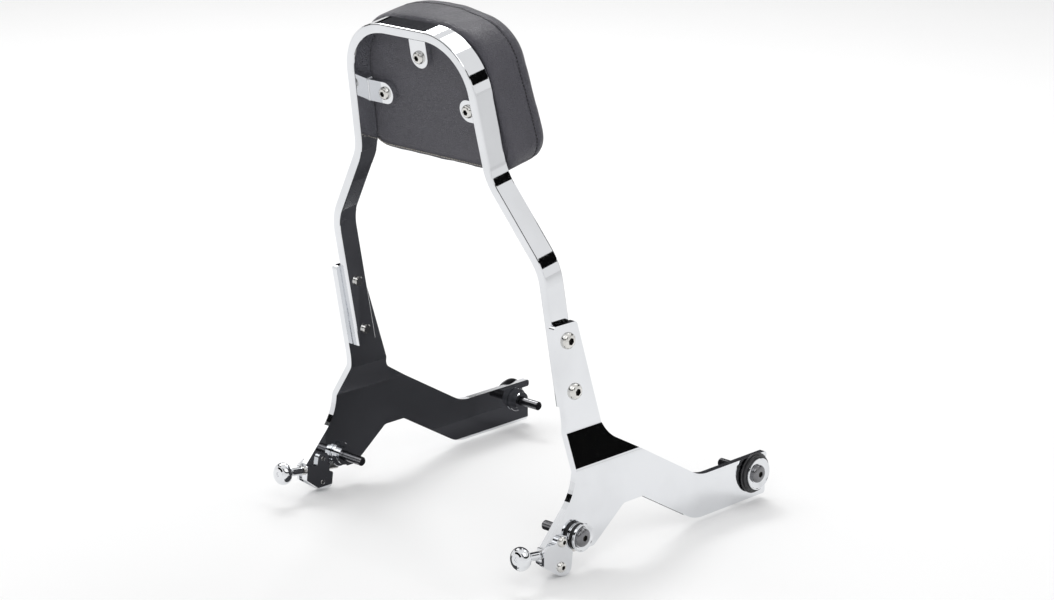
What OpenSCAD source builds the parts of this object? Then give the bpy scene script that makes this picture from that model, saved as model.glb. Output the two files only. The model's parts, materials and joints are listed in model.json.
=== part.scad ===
// Passenger backrest hoop for a motorcycle: a bent flat-bar hoop with a pad,
// bolted to two side plates that hook onto four docking spools.
// Right is +X, forward is +Y, up is +Z. The origin lies midway between the
// axes of the two rear docking spools. Left pieces are mirror images.

/* [Hoop bar] */
// Depth of the flat bar, front to back
bar_depth = 22.2; // [16:0.1:30]
// Thickness of the flat bar
bar_thick = 9.5; // [7:0.1:12]
// Radius of the bar's long edges
bar_edge_r = 1.6; // [0.8:0.1:3]
// Angle that the hoop leans back from upright
lean_angle = 10.6; // [0:0.1:16]
// Height of the top bar's centreline above the lower bend, along the hoop
top_height = 206; // [190:1:240]
// Half width of the hoop where its top corners would meet
top_half_width = 75; // [66:0.5:82]
// Bend radius of the top corners, on the centreline
top_corner_r = 52; // [30:1:56]
// Height of the upper bend above the lower bend, along the hoop
upper_bend_height = 79; // [66:1:90]
// Half width of the hoop at the upper bend
upper_bend_half_width = 84.5; // [80:0.5:92]
// Half distance between the centrelines of the two straight legs
leg_half_width = 135.5; // [126:0.5:146]
// Bend radius of the upper and lower bends, on the centreline
side_bend_r = 51; // [30:1:58]
// Length of each leg below the lower bend
leg_drop = 133; // [125:1:150]
// Distance of the lower bend behind the rear docking axis
hoop_setback = 7.7; // [4:0.1:12]

/* [Side plates] */
// Thickness of the side plates
plate_thick = 6.35; // [5:0.05:8]
// Outward offset between the tongue and the body of a plate
joggle_offset = 17; // [8:0.5:24]
// Height of the upper joggle bend above the rear docking axis
joggle_top = 92.5; // [85:0.5:97]
// Height of the joggle, from its upper bend to its lower bend
joggle_height = 31.5; // [24:0.5:34]
// Inside radius of the joggle bends
joggle_r = 4; // [2:0.5:8]
// Height from the upper joggle bend up to the foot of the hoop's leg
foot_gap = 24.8; // [20:0.1:32]
// Height from the upper joggle bend up to the top of the tongue
tongue_len = 104.3; // [98:0.1:110]
// Width of the tongue at its top
tongue_width = 30.5; // [26:0.5:36]
// Distance of the tongue's rear top corner behind the rear docking axis
tongue_setback = 13.9; // [11:0.1:16]
// Height of the arm's upper edge above the rear docking axis
arm_top = 14; // [13:0.5:20]
// Height of the arm, upper edge to lower edge
arm_height = 42.5; // [38:0.5:50]
// Slope of the stretch between the body and the arm
arm_slope = 30.3; // [22:0.1:36]
// Length of the fork's prongs past the front docking axis
prong_reach = 20.5; // [14:0.5:26]

/* [Tongue bolts] */
// Shank diameter of the tongue bolts
tongue_bolt_d = 9.5; // [6:0.1:11]
// Head diameter of the tongue bolts
tongue_head_d = 15.6; // [14:0.1:18]
// Distance between the two tongue bolts
tongue_bolt_pitch = 50.8; // [40:0.1:60]
// Distance from the foot of the leg up to the lower tongue bolt
tongue_bolt_lift = 13.5; // [11:0.5:18]
// Length of shank that stands out of the leg's inner face
tongue_bolt_stub = 2.7; // [1:0.1:5]

/* [Docking hardware] */
// Distance between the rear and the front docking axes
dock_pitch = 247.5; // [236:0.5:260]
// Drop of the front docking axis below the rear one
dock_drop = 2.8; // [0:0.1:5]
// Diameter of the groove that the plate sits in
groove_d = 19; // [14:0.5:20]
// Diameter of the rear spool's ribbed collar
rear_flange_d = 25; // [23:0.5:26]
// Diameter of the front spool's collar
front_flange_d = 40; // [34:0.5:42]
// Distance from a plate's outer face to the back of its washer
outer_flange_t = 5.6; // [4:0.1:8]
// Diameter of the spools' inner flange
inner_flange_d = 24; // [22:0.5:25]
// Thickness of the spools' inner flange
inner_flange_t = 3.5; // [2:0.1:5]
// Diameter of the spacer between the inner flange and the motorcycle
spacer_d = 18; // [14:0.5:21]
// Length of that spacer
spacer_len = 6; // [2:0.5:12]
// Diameter of the rear washer
rear_washer_d = 26.6; // [24:0.1:30]
// Diameter of the front washer
front_washer_d = 31.6; // [26:0.1:36]
// Thickness of the washers
washer_t = 2.5; // [1.5:0.1:4]
// Shank diameter of the docking bolts
dock_bolt_d = 9.5; // [8:0.1:11]
// Head diameter of the docking bolts
dock_head_d = 17.6; // [15:0.1:19]
// Thread diameter of the docking bolts, past the spacer
dock_thread_d = 9; // [7:0.1:9.4]
// Length of docking bolt that stands out of the spacer
dock_bolt_reach = 25; // [15:1:40]

/* [Latch] */
// Diameter of the plunger's locking pin
pin_d = 5.6; // [4:0.1:6]
// Diameter of the plunger's rod
rod_d = 3.2; // [2:0.1:3.6]
// Angle of the plunger, nose down from level
latch_tilt = 7.6; // [0:0.1:12]
// Gap between the locking pin and the spool's groove
pin_gap = 0.8; // [0.3:0.1:2]
// How far the pin reaches past the rear docking axis
pin_reach = 3; // [3:0.5:8]
// Distance from the docking axis to the front of the latch housing
housing_front = 13; // [12.5:0.1:15]
// Distance from the docking axis to the rear of the latch housing
housing_rear = 42; // [40:0.5:46]
// Thickness of the latch cover
cover_t = 3; // [2:0.1:5]
// Thickness of the housing's inner wall, behind the plate
inner_wall_t = 2.8; // [1.5:0.1:5]
// Thickness of the bush's flange
bush_flange_t = 1.8; // [1:0.1:3]
// Diameter of the bush's flange
bush_flange_d = 8.4; // [7:0.1:9]
// Length of the bush inside the housing
bush_len = 4; // [2:0.5:6]
// Diameter of the spring's wire
spring_wire_d = 0.6; // [0.4:0.1:0.8]
// Number of turns of the spring
spring_turns = 7; // [4:1:9]
// Length of the spring with the latch closed
spring_len = 20; // [18:0.5:22]
// Diameter of the knob
knob_d = 22; // [16:0.5:26]
// Length of the knob's head along the plunger
knob_len = 13.5; // [9:0.5:18]
// Diameter of the knob's neck
knob_neck_d = 7.8; // [6:0.1:10]
// Length of the knob's neck
knob_neck_len = 17; // [12:0.5:22]
// Shank diameter of the latch screws
latch_screw_d = 4.8; // [3:0.1:5]

/* [Pad] */
// Width of the pad at its bottom
pad_width = 190; // [170:1:200]
// Width of the pad at its top
pad_top_width = 168; // [150:1:186]
// Height of the pad
pad_height = 139; // [130:1:150]
// Rise of the pad's top above the centreline of the hoop's top bar
pad_rise = 8; // [2:0.5:12]
// Thickness of the pad at its middle
pad_depth = 50; // [42:1:60]
// Depth of the pad's side wall, from the back to the front seam
pad_side_depth = 36; // [28:1:38]
// Radius of the pad's bottom corners
pad_bottom_r = 26; // [16:1:34]
// Radius of the pad's top corners
pad_top_r = 44; // [30:1:50]
// Thickness of the pad's cover
pad_skin = 1.6; // [1:0.1:3]
// Thickness of the pad's board
board_t = 9; // [6:0.5:12]
// Distance from the pad's edge to the board's edge
board_inset = 14; // [9:0.5:18]

/* [Pad tabs] */
// Thickness of the tabs
tab_thick = 6; // [4:0.1:8]
// Width of the tabs
tab_width = 21; // [18:0.5:26]
// Drop of the top tab's screw below the centreline of the top bar
tab_top_drop = 28.5; // [24:0.5:36]
// Drop of the side tabs' screws below the centreline of the top bar
tab_side_drop = 71.5; // [61:0.5:86]
// Half distance between the side tabs' screws
tab_side_screw_half = 54; // [46:0.5:58]
// Shank diameter of the pad screws
pad_screw_d = 6.3; // [5:0.1:8]
// Head diameter of the pad screws
pad_screw_head_d = 12.6; // [10:0.1:14]

/* [Fits] */
// Radial clearance of a bolt in a plain hole
hole_gap = 0.2; // [0.1:0.05:0.4]
// Radial clearance of a bolt in a tapped hole
thread_gap = 0.05; // [0.02:0.01:0.1]
// Clearance between a plate and its spool, on each side
dock_gap = 0.3; // [0.2:0.05:0.5]
// Radial running clearance of the plunger
slide_gap = 0.05; // [0.03:0.01:0.1]
// Clearance between faces that meet
seat_gap = 0.1; // [0.05:0.05:0.3]

/* [Hidden] */
eps = 0.01;
// Length by which the hoop's straight stretches run into its bends
lap = 0.6;
// Amount by which the section is smaller in the bends than in the straights
bend_draw = 0.02;
through = 400;

// Where the plates stand: inner and outer faces of the tongue and the body
tongue_in = leg_half_width + bar_thick / 2;
tongue_out = tongue_in + plate_thick;
body_in = tongue_in + joggle_offset;
body_out = body_in + plate_thick;
body_mid = (body_in + body_out) / 2;

// Heights of the tongue's top and of the hoop's lower bend above the rear docking axis
tongue_top = joggle_top + tongue_len;
hoop_lift = joggle_top + foot_gap + leg_drop * cos(lean_angle);

// Where the docking pieces stand along X
groove_in = body_in - dock_gap;
groove_out = body_out + dock_gap;
spacer_in = groove_in - inner_flange_t - spacer_len;
washer_in = groove_out + outer_flange_t;
washer_out = washer_in + washer_t;
dish_out = washer_in + washer_t * 0.4;
relief_len = 0.8;
lip_t = 1;
collar_in = groove_out + lip_t;
slot_half = groove_d / 2 + dock_gap;

// Where the latch stands, in its own frame: Y along the plunger, nose forward
pin_x = body_in + pin_d / 2 + 0.05 * plate_thick;
pin_z = -(groove_d / 2 + pin_gap + pin_d / 2);
bore_d = pin_d + 2 * slide_gap;
bore_wall = 2.6;
tail_edge_z = pin_z + bore_d / 2 + bore_wall;
housing_in = body_in - inner_wall_t;
cover_out = body_out + cover_t;
latch_screw_head_d = 10;
// Screw places in the latch frame, upper one in the plate, lower one in the housing
latch_screws_yz = [[-22.6, -2], [-20.5, -26]];

// Pad places along the hoop's own depth
pad_back = bar_depth / 2;
board_back = pad_back + pad_skin;
tab_back = pad_back - tab_thick;
pad_lift = top_height + pad_rise - pad_height;
tab_top_screw_height = top_height - tab_top_drop;
tab_side_screw_height = top_height - tab_side_drop;
screw_places = [
    [0, tab_top_screw_height],
    [tab_side_screw_half, tab_side_screw_height],
    [-tab_side_screw_half, tab_side_screw_height]
];
foam_gap = 0.8;
nut_flange_t = 1.4;
nut_flange_d = 18;
nut_barrel_d = 9.4;
nut_barrel_len = 7;

// Direction of a vector, and the vector turned a quarter turn to the left
function unit(v) = v / norm(v);
function left_of(v) = [-v[1], v[0]];
function cross2(a, b) = a[0] * b[1] - a[1] * b[0];

// Turn angle at corner b of a path a, b, c: positive to the left
function turn(a, b, c) = atan2(cross2(unit(b - a), unit(c - b)), unit(b - a) * unit(c - b));

// Points of the arc that rounds corner b with radius r
function round_corner(a, b, c, r, steps) =
    let(
        angle = turn(a, b, c),
        cut = r * tan(abs(angle) / 2),
        start = b - unit(b - a) * cut,
        centre = start + left_of(unit(b - a)) * r * sign(angle),
        arm = start - centre
    )
    r == 0 || abs(angle) < 0.01 ? [b] :
    [for (i = [0:steps]) let(t = angle * i / steps)
        centre + [arm[0] * cos(t) - arm[1] * sin(t), arm[0] * sin(t) + arm[1] * cos(t)]];

// Closed outline from corners [x, y, radius]
function rounded_outline(corners, steps = 8) =
    let(n = len(corners), p = [for (c = corners) [c[0], c[1]]])
    [for (i = [0:n - 1])
        each round_corner(p[(i + n - 1) % n], p[i], p[(i + 1) % n], corners[i][2], steps)];

// Point on a line through p with slope m, at height z
function at_height(p, m, z) = [p[0] + (z - p[1]) / m, z];

// Puts children into the hoop's own leaning frame: X across, Y depth, Z along
module hoop_frame() {
    translate([0, -hoop_setback, hoop_lift]) rotate([lean_angle, 0, 0]) children();
}

// Puts children into the latch's frame on the right-hand side
module latch_frame() {
    rotate([-latch_tilt, 0, 0]) children();
}

// A round bar along +X
module x_bar(x0, x1, d, y = 0, z = 0) {
    translate([x0, y, z]) rotate([0, 90, 0]) cylinder(h = x1 - x0, d = d, $fn = 64);
}

// A round bar along +Y
module y_bar(y0, y1, d, x = 0, z = 0) {
    translate([x, y0, z]) rotate([-90, 0, 0]) cylinder(h = y1 - y0, d = d, $fn = 64);
}

// Half profile of a button head of diameter d, base at height 0, with hexagon socket depth
module button_head(d, h, socket) {
    difference() {
        rotate_extrude($fn = 64)
            polygon(concat([[0, 0], [d / 2, 0], [d / 2, h * 0.12]],
                [for (a = [15:15:75]) [d * 0.22 + d * 0.28 * cos(a), h * 0.12 + h * 0.88 * sin(a)]],
                [[d * 0.22, h], [0, h]]));
        translate([0, 0, h - h * 0.6])
            cylinder(h = h, d = socket / cos(30), $fn = 6);
    }
}

// Button-head bolt along +Z: head above 0, shank below
module button_bolt(head_d, head_h, socket, shank_d, shank_len) {
    button_head(head_d, head_h, socket);
    chamfer = shank_d * 0.1;
    translate([0, 0, -shank_len])
        rotate_extrude($fn = 64)
            polygon([[0, 0], [shank_d / 2 - chamfer, 0], [shank_d / 2, chamfer],
                [shank_d / 2, shank_len], [0, shank_len]]);
}

// Bar section drawn in by inset, thickness across and depth along
function bar_section(inset) =
    let(x = bar_thick / 2 - inset, y = bar_depth / 2 - inset)
    rounded_outline([[-x, -y, bar_edge_r], [x, -y, bar_edge_r], [x, y, bar_edge_r], [-x, y, bar_edge_r]], 4);

// Corners of half the hoop's centreline, from the middle of the top to the right foot
hoop_path = [
    [0, top_height, 0],
    [top_half_width, top_height, top_corner_r],
    [upper_bend_half_width, upper_bend_height, side_bend_r],
    [leg_half_width, 0, side_bend_r],
    [leg_half_width, -leg_drop, 0]
];
function path_point(i) = [hoop_path[i][0], hoop_path[i][1]];
function bend_angle(i) = i == 0 || i == len(hoop_path) - 1 ? 0 :
    turn(path_point(i - 1), path_point(i), path_point(i + 1));
function bend_cut(i) = hoop_path[i][2] * tan(abs(bend_angle(i)) / 2);

// Straight stretch of the bar from corner i to the next
module bar_straight(i) {
    dir = unit(path_point(i + 1) - path_point(i));
    start = path_point(i) + dir * (bend_cut(i) - lap);
    length = norm(path_point(i + 1) - path_point(i)) - bend_cut(i) - bend_cut(i + 1) + 2 * lap;
    translate([start[0], 0, start[1]])
        rotate([0, 90 - atan2(dir[1], dir[0]), 0])
            linear_extrude(height = length) polygon(bar_section(0));
}

// Bent stretch of the bar at corner i
module bar_bend(i) {
    dir = unit(path_point(i) - path_point(i - 1));
    angle = bend_angle(i);
    side = sign(angle);
    radius = hoop_path[i][2];
    start = path_point(i) - dir * bend_cut(i);
    centre = start + left_of(dir) * radius * side;
    from = atan2(start[1] - centre[1], start[0] - centre[0]);
    translate([centre[0], 0, centre[1]])
        rotate([90, 0, 0])
            rotate([0, 0, side > 0 ? from : from + angle])
                rotate_extrude(angle = abs(angle), $fn = 180)
                    translate([radius, 0]) polygon(bar_section(bend_draw));
}

// The half of the hoop on the right, from its middle to its foot
module half_hoop() {
    for (i = [0:len(hoop_path) - 2]) bar_straight(i);
    for (i = [1:len(hoop_path) - 2]) bar_bend(i);
}

// Places of the two tongue bolts along the leg
tongue_bolt_heights = [-leg_drop + tongue_bolt_lift, -leg_drop + tongue_bolt_lift + tongue_bolt_pitch];

module hoop() {
    color("silver") hoop_frame() difference() {
        union() {
            half_hoop();
            mirror([1, 0, 0]) half_hoop();
        }
        for (side = [-1, 1], h = tongue_bolt_heights)
            translate([side * leg_half_width, 0, h]) rotate([0, 90, 0])
                cylinder(h = 2 * bar_thick, d = tongue_bolt_d + 2 * thread_gap, center = true, $fn = 64);
    }
}

// Half width of the hoop's centreline at a height between its upper bend and its top
function hoop_half_at(h) = top_half_width + (upper_bend_half_width - top_half_width)
    * (top_height - h) / (top_height - upper_bend_height);

// Tab plate: a strip of length len with one round end at the screw, standing on the XZ plane
module tab_blank(len) {
    translate([0, pad_back, 0]) rotate([90, 0, 0]) linear_extrude(height = tab_thick) {
        circle(d = tab_width, $fn = 72);
        translate([-tab_width / 2, 0]) square([tab_width, len]);
    }
}

// Hole for a pad screw, along the hoop's depth
module pad_screw_hole(gap) {
    y_bar(-through / 2, through / 2, pad_screw_d + 2 * gap);
}

module pad_tab_top() {
    color("silver") hoop_frame() translate([0, 0, tab_top_screw_height]) difference() {
        tab_blank(top_height - bar_thick / 2 - tab_top_screw_height);
        pad_screw_hole(hole_gap);
    }
}

// Slope of the hoop's side stretch, away from upright
side_slope = atan2(upper_bend_half_width - top_half_width, top_height - upper_bend_height);

module pad_tab_side() {
    reach = hoop_half_at(tab_side_screw_height) - tab_side_screw_half;
    hoop_frame() difference() {
        translate([tab_side_screw_half, 0, tab_side_screw_height]) difference() {
            rotate([0, 90, 0]) tab_blank(reach);
            pad_screw_hole(hole_gap);
        }
        // The far end is cut along the bar's inner face
        translate([hoop_half_at(tab_side_screw_height), 0, tab_side_screw_height])
            rotate([0, -side_slope, 0])
                translate([-bar_thick / 2, -tab_width, -tab_width]) cube([3 * bar_thick, 2 * tab_width, 2 * tab_width]);
    }
}

module pad_tab_right() { color("silver") pad_tab_side(); }
module pad_tab_left() { color("silver") mirror([1, 0, 0]) pad_tab_side(); }

// Outline of the pad seen from behind, drawn in by inset
module pad_outline(inset) {
    half_low = pad_width / 2 - inset;
    half_top = pad_top_width / 2 - inset;
    low_r = max(pad_bottom_r - inset, 4);
    top_r = max(pad_top_r - inset, 8);
    low = pad_lift + inset;
    high = pad_lift + pad_height - inset;
    crown = 5;
    hull() {
        for (side = [-1, 1]) {
            translate([side * (half_low - low_r), low + low_r]) circle(r = low_r, $fn = 36);
            translate([side * (half_top - top_r), high - crown - top_r]) circle(r = top_r, $fn = 48);
        }
        translate([-pad_top_width / 8, high - 1]) square([pad_top_width / 4, 1]);
    }
}

// A slice of the pad that starts at a depth in front of its back
module pad_slice(depth, height, inset) {
    translate([0, pad_back + depth + height, 0]) rotate([90, 0, 0])
        linear_extrude(height = height) pad_outline(inset);
}

// Crowned body of the pad, drawn in by skin on every side
module pad_body(skin) {
    crown = pad_depth - pad_side_depth;
    hull() {
        pad_slice(skin, 1, 4 + skin);
        pad_slice(4.5, pad_side_depth - 4.5, skin);
        pad_slice(pad_side_depth + crown * 0.45, 1, 5 + skin);
        pad_slice(pad_side_depth + crown * 0.82 - skin, 1, 15 + skin);
        pad_slice(pad_depth - 1 - skin, 1, 34 + skin);
    }
}

// Holes through the pad's back for its three screws
module pad_screw_holes(d) {
    for (p = screw_places)
        y_bar(pad_back - 1, board_back + 1, d, p[0], p[1]);
}

// Distance from the pad's edge to the edge of its back panel
panel_inset = 7;

module pad_cover() {
    color("dimgray") hoop_frame() difference() {
        pad_body(0);
        pad_body(pad_skin);
        translate([0, pad_back + pad_skin + 1, 0]) rotate([90, 0, 0])
            linear_extrude(height = pad_skin + 2) pad_outline(panel_inset - seat_gap);
    }
}

module pad_back_panel() {
    color("dimgray") hoop_frame() difference() {
        translate([0, pad_back + pad_skin, 0]) rotate([90, 0, 0])
            linear_extrude(height = pad_skin) pad_outline(panel_inset);
        pad_screw_holes(pad_screw_d + 2 * hole_gap);
    }
}

// Depth at which the foam starts, in front of the board
foam_back = board_back + board_t;

// A tee nut with its flange on the board's front face
module tee_nut_shape(gap) {
    y_bar(foam_back - nut_barrel_len - gap, foam_back, nut_barrel_d + 2 * gap);
    y_bar(foam_back, foam_back + nut_flange_t + gap, nut_flange_d + 2 * gap);
}

module pad_board() {
    color("burlywood") hoop_frame() difference() {
        translate([0, foam_back, 0]) rotate([90, 0, 0])
            linear_extrude(height = board_t) pad_outline(board_inset);
        for (p = screw_places) translate([p[0], 0, p[1]]) {
            pad_screw_hole(hole_gap);
            tee_nut_shape(seat_gap);
        }
    }
}

module pad_foam() {
    color("khaki") hoop_frame() difference() {
        pad_body(pad_skin + foam_gap);
        translate([0, foam_back + seat_gap, 0]) rotate([90, 0, 0])
            linear_extrude(height = board_t + 10) pad_outline(board_inset - seat_gap);
        for (p = screw_places) translate([p[0], 0, p[1]]) {
            tee_nut_shape(seat_gap);
            y_bar(foam_back, foam_back + 8, pad_screw_d + 2);
        }
    }
}

module pad_tee_nuts() {
    color("gray") hoop_frame() for (p = screw_places) translate([p[0], 0, p[1]]) difference() {
        tee_nut_shape(0);
        y_bar(0, 2 * foam_back, pad_screw_d + 2 * thread_gap);
    }
}

pad_screw_len = foam_back - tab_back + nut_flange_t + 2;

module pad_screws() {
    color("lightgray") hoop_frame() for (p = screw_places)
        translate([p[0], tab_back, p[1]]) rotate([90, 0, 0])
            button_bolt(pad_screw_head_d, pad_screw_head_d * 0.3, pad_screw_head_d * 0.4,
                pad_screw_d, pad_screw_len);
}

// Corners of a side plate seen from its right, Y across and Z up
tail_rear = -housing_rear - 0.5;
tail_drop = slot_half + 5.2;
lobe_corner = [slot_half + 53.2, arm_top + 1];
slope_m = -tan(arm_slope);
slope_top = [slot_half + 79.5, joggle_top - joggle_height - 0.2];
arm_front = dock_pitch + prong_reach;
tongue_front_m = -3.12;
tongue_front = [tongue_width - tongue_setback, tongue_top];
tongue_foot_z = slope_top[1] - slope_m * 35.9;
slope_low = [slope_top[0] - 0.8, lobe_corner[1]];
arm_bottom = arm_top - arm_height;
plate_corners = [
    [-tongue_setback, tongue_top, 3],
    [18.2 - tongue_setback, joggle_top + 4.5, 60],
    [9.8 - tongue_setback, joggle_top - joggle_height - 21, 50],
    [tail_rear, -1, 2],
    [tail_rear, -tail_drop, 2],
    [-slot_half, -tail_drop, 0],
    [-slot_half, 0, 0],
    [slot_half, 0, 0],
    [slot_half, -tail_drop - 0.5, 2],
    [slot_half + 12.8, -tail_drop - 0.5, 4],
    [lobe_corner[0], lobe_corner[1], 8],
    [slope_low[0], slope_low[1], 4],
    concat(at_height(slope_low, slope_m, arm_bottom), 44),
    [arm_front - 1.5, arm_bottom, 3],
    [arm_front - 1.5, -dock_drop - slot_half, 3],
    [dock_pitch, -dock_drop - slot_half, 0],
    [dock_pitch, -dock_drop + slot_half, 0],
    [arm_front, -dock_drop + slot_half, 2.5],
    [arm_front, arm_top, 3],
    concat(at_height(slope_top, slope_m, arm_top), 44),
    concat(at_height(slope_top, slope_m, tongue_foot_z), 22),
    [tongue_front[0], tongue_front[1], 4]
];

// Section of the plate's joggle: X outward, Z up, between the tongue top and the body's foot
joggle_line = [
    [tongue_in + plate_thick / 2, tongue_top + 20],
    [tongue_in + plate_thick / 2, joggle_top],
    [body_mid, joggle_top - joggle_height],
    [body_mid, arm_bottom - 20]
];
function joggle_face(side, reverse) =
    let(
        bend = turn(joggle_line[0], joggle_line[1], joggle_line[2]),
        shift = plate_thick / 2 * tan(abs(bend) / 2),
        x = side * plate_thick / 2,
        r_first = side > 0 ? joggle_r : joggle_r + plate_thick,
        r_last = side > 0 ? joggle_r + plate_thick : joggle_r
    )
    [joggle_line[0] + [x, 0],
     each round_corner(joggle_line[0] + [x, 0], joggle_line[1] + [x, side * shift],
        joggle_line[2] + [x, side * shift], r_first, 10),
     each round_corner(joggle_line[1] + [x, side * shift], joggle_line[2] + [x, side * shift],
        joggle_line[3] + [x, 0], r_last, 10),
     joggle_line[3] + [x, 0]];
outer_face = joggle_face(1);
inner_face = joggle_face(-1);

// The bent sheet that a side plate is cut from
module joggled_sheet() {
    translate([0, through, 0]) rotate([90, 0, 0]) linear_extrude(height = 2 * through)
        polygon(concat(outer_face, [for (i = [len(inner_face) - 1:-1:0]) inner_face[i]]));
}

// Everything that is cut out of a plate below its tail, in the latch frame
module tail_cut() {
    latch_frame() translate([0, -2 * housing_rear, tail_edge_z - housing_rear])
        cube([through, 2 * housing_rear, housing_rear]);
}

module side_plate() {
    difference() {
        intersection() {
            joggled_sheet();
            rotate([90, 0, 90]) linear_extrude(height = through) polygon(rounded_outline(plate_corners));
        }
        x_bar(0, through, 2 * slot_half);
        x_bar(0, through, 2 * slot_half, dock_pitch, -dock_drop);
        intersection() {
            tail_cut();
            translate([0, -2 * housing_rear, -2 * housing_rear])
                cube([through, 2 * housing_rear, 2 * housing_rear]);
        }
        hoop_frame() for (h = tongue_bolt_heights)
            x_bar(leg_half_width, through, tongue_bolt_d + 2 * hole_gap, 0, h);
        latch_frame() x_bar(0, through, latch_screw_d + 2 * hole_gap, latch_screws_yz[0][0], latch_screws_yz[0][1]);
    }
}

module side_plate_right() { color("silver") side_plate(); }
module side_plate_left() { color("silver") mirror([1, 0, 0]) side_plate(); }

module tongue_bolts() {
    reach = plate_thick + bar_thick + tongue_bolt_stub;
    hoop_frame() for (h = tongue_bolt_heights)
        translate([tongue_out, 0, h]) rotate([0, 90, 0])
            button_bolt(tongue_head_d, tongue_head_d * 0.28, tongue_head_d * 0.4, tongue_bolt_d, reach);
}

module tongue_bolts_right() { color("lightgray") tongue_bolts(); }
module tongue_bolts_left() { color("lightgray") mirror([1, 0, 0]) tongue_bolts(); }

// A grooved spool with a thin outer lip, turned about the docking axis
module spool(lip_d) {
    edge = 0.4;
    rotate([0, 90, 0]) rotate_extrude($fn = 96) polygon([
        [dock_bolt_d / 2 + hole_gap, spacer_in], [spacer_d / 2, spacer_in],
        [spacer_d / 2, groove_in - inner_flange_t], [inner_flange_d / 2 - edge, groove_in - inner_flange_t],
        [inner_flange_d / 2, groove_in - inner_flange_t + edge], [inner_flange_d / 2, groove_in - edge],
        [inner_flange_d / 2 - edge, groove_in], [groove_d / 2, groove_in], [groove_d / 2, groove_out],
        [lip_d / 2 - edge / 2, groove_out], [lip_d / 2, groove_out + edge / 2], [lip_d / 2, collar_in - edge / 2],
        [lip_d / 2 - edge / 2, collar_in], [dock_bolt_d / 2 + hole_gap, collar_in]
    ]);
}

// A collar between the spool's lip and the washer, its rim given as radius and X
module collar(rim) {
    rotate([0, 90, 0]) rotate_extrude($fn = 96) polygon(concat(
        [[dock_bolt_d / 2 + hole_gap, collar_in]], rim, [[dock_bolt_d / 2 + hole_gap, washer_in]]));
}

// Ribbed rim of the rear collar
rib_depth = rear_flange_d * 0.028;
rib_count = 4;
rib_pitch = (washer_in - collar_in) / rib_count;
rear_rim = [for (i = [0:rib_count - 1]) each [
    [rear_flange_d / 2 - rib_depth, collar_in + rib_pitch * (i + (i == 0 ? 0 : 0.14))],
    [rear_flange_d / 2, collar_in + rib_pitch * (i + 0.3)],
    [rear_flange_d / 2, collar_in + rib_pitch * (i + 0.84)],
    [rear_flange_d / 2 - rib_depth, collar_in + rib_pitch * (i + 1)]
]];

// Rim of the front collar: a broad lip, a shallow waist and a smaller lip
front_rim = [for (p = [[-0.8, 0], [0, 0.17], [0, 0.34], [-2.2, 0.46], [-2.2, 0.58], [-1.4, 0.68], [-1.6, 0.88], [-2.4, 1]])
    [front_flange_d / 2 + p[0], collar_in + p[1] * (washer_in - collar_in)]];

module at_front_dock() {
    translate([0, dock_pitch, -dock_drop]) children();
}

module rear_spool_right() { color("silver") spool(rear_flange_d); }
module rear_spool_left() { color("silver") mirror([1, 0, 0]) spool(rear_flange_d); }
module front_spool_right() { color("silver") at_front_dock() spool(inner_flange_d); }
module front_spool_left() { color("silver") mirror([1, 0, 0]) at_front_dock() spool(inner_flange_d); }
module rear_collar_right() { color("#222222") collar(rear_rim); }
module rear_collar_left() { color("#222222") mirror([1, 0, 0]) collar(rear_rim); }
module front_collar_right() { color("#222222") at_front_dock() collar(front_rim); }
module front_collar_left() { color("#222222") mirror([1, 0, 0]) at_front_dock() collar(front_rim); }

// Cup washer: a raised rim and a dish that the bolt's head sits in
module washer(d) {
    edge = 0.3;
    rim = d * 0.05;
    rotate([0, 90, 0]) rotate_extrude($fn = 96) polygon([
        [dock_bolt_d / 2 + hole_gap, washer_in], [d / 2 - edge, washer_in], [d / 2, washer_in + edge],
        [d / 2, washer_out - edge], [d / 2 - edge, washer_out], [d / 2 - rim + edge, washer_out],
        [d / 2 - rim, washer_out - edge], [dock_head_d / 2 + 0.6, dish_out], [dock_bolt_d / 2 + hole_gap, dish_out]
    ]);
}

module rear_washer_right() { color("silver") washer(rear_washer_d); }
module rear_washer_left() { color("silver") mirror([1, 0, 0]) washer(rear_washer_d); }
module front_washer_right() { color("silver") at_front_dock() washer(front_washer_d); }
module front_washer_left() { color("silver") mirror([1, 0, 0]) at_front_dock() washer(front_washer_d); }

// Docking bolt: a full shank through the spool, a relief, and a thinner thread past it
module dock_bolt() {
    tip = dock_thread_d / 9;
    relief = dock_thread_d / 2 - 0.35;
    translate([dish_out, 0, 0]) rotate([0, 90, 0])
        button_bolt(dock_head_d, dock_head_d * 0.2, dock_head_d * 0.31, dock_bolt_d, dish_out - spacer_in);
    translate([spacer_in, 0, 0]) rotate([0, -90, 0]) rotate_extrude($fn = 64) polygon([
        [0, -tip], [relief, -tip], [relief, relief_len], [dock_thread_d / 2, relief_len],
        [dock_thread_d / 2, dock_bolt_reach - tip], [dock_thread_d / 2 - tip, dock_bolt_reach], [0, dock_bolt_reach]
    ]);
}

module rear_dock_bolt_right() { color("dimgray") dock_bolt(); }
module rear_dock_bolt_left() { color("dimgray") mirror([1, 0, 0]) dock_bolt(); }
module front_dock_bolt_right() { color("dimgray") at_front_dock() dock_bolt(); }
module front_dock_bolt_left() { color("dimgray") mirror([1, 0, 0]) at_front_dock() dock_bolt(); }

// Latch housing, seen along X in the latch frame: a block under the tail with a lip behind it
housing_corners = [
    [-housing_rear, tail_edge_z - seat_gap, 0],
    [-housing_rear, -22, 2],
    [-24, -32.5, 7],
    [-8, -32.5, 5],
    [-8, -17, 2],
    [-housing_front, -15, 1],
    [-housing_front, tail_edge_z - seat_gap, 0]
];
lip_corners = [
    [-30, tail_edge_z - 5, 0],
    [-16, tail_edge_z - 5, 0],
    [-16, 3.5, 5],
    [-29, 3.5, 5]
];

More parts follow.
